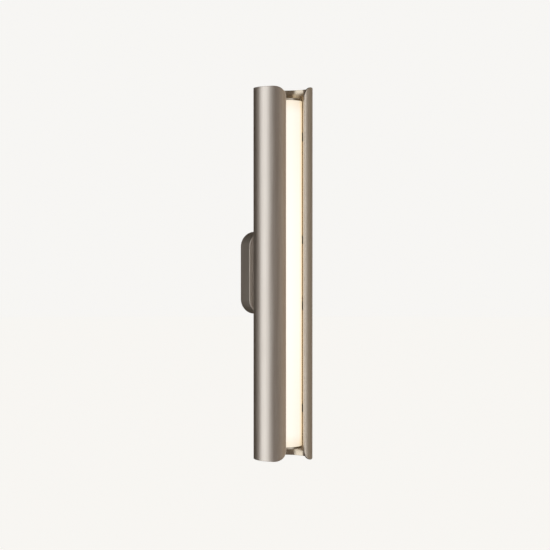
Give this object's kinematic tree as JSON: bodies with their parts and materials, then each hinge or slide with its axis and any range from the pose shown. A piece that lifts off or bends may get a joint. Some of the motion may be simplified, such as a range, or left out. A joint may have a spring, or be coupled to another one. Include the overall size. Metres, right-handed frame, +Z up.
{
  "type": "tube wall light",
  "caption": "Vertical tube wall light: slotted brushed metal shell around a concentric lit opal tube, carried on a rounded wall canopy that holds the driver.",
  "frame": {"origin": "centre of the wall plate's back face, midway between its two mounting slots", "axes": "+Y into the wall, so the room and the light slot are on the -Y side; +Z up, along the tube; +X to the right seen from the room"},
  "size_m": [0.08, 0.1085, 0.502],
  "materials": {
    "brushed_nickel": "satin brushed nickel on aluminium, slightly warm",
    "opal_diffuser": "opal, evenly lit warm white",
    "satin_cap": "satin",
    "spine_aluminium": "mill finish extrusion",
    "board_white": "white solder mask",
    "light_source": "phosphor window",
    "screw_steel": "bright zinc plate",
    "plate_steel": "zinc plated sheet",
    "black_rubber": "matt",
    "driver_plastic": "fine moulded grain",
    "board_green": "green solder mask",
    "terminal_plastic": "moulded",
    "terminal_brass": "bright",
    "lead_brown": "insulation",
    "lead_blue": "insulation",
    "lead_green": "insulation with a yellow stripe",
    "lead_red": "insulation",
    "lead_black": "insulation"
  },
  "bodies": {
    "root": {"shell_tube": "brushed_nickel", "opal_cover": "opal_diffuser", "top_end_cap": "satin_cap", "bottom_end_cap": "satin_cap", "spine_profile": "spine_aluminium", "led_board": "board_white", "led_chips": "light_source", "end_cap_screws": "screw_steel", "spine_spacers": "spine_aluminium", "saddle_block": "brushed_nickel", "fixing_screws": "screw_steel", "fixing_washers": "screw_steel", "end_fixing_screws": "screw_steel", "lead_grommet": "black_rubber", "canopy": "brushed_nickel", "wall_plate": "plate_steel", "canopy_screws": "screw_steel", "entry_bush": "black_rubber", "driver_case": "driver_plastic", "driver_lid": "driver_plastic", "driver_board": "board_green", "driver_screws": "screw_steel", "terminal_block": "terminal_plastic", "terminal_tubes": "terminal_brass", "terminal_screws": "screw_steel", "terminal_fixing_screw": "screw_steel", "earth_stud": "screw_steel", "earth_nut": "screw_steel", "earth_ring": "terminal_brass", "live_lead": "lead_brown", "neutral_lead": "lead_blue", "earth_lead": "lead_green", "led_lead_positive": "lead_red", "led_lead_negative": "lead_black"}
  },
  "joints": []
}
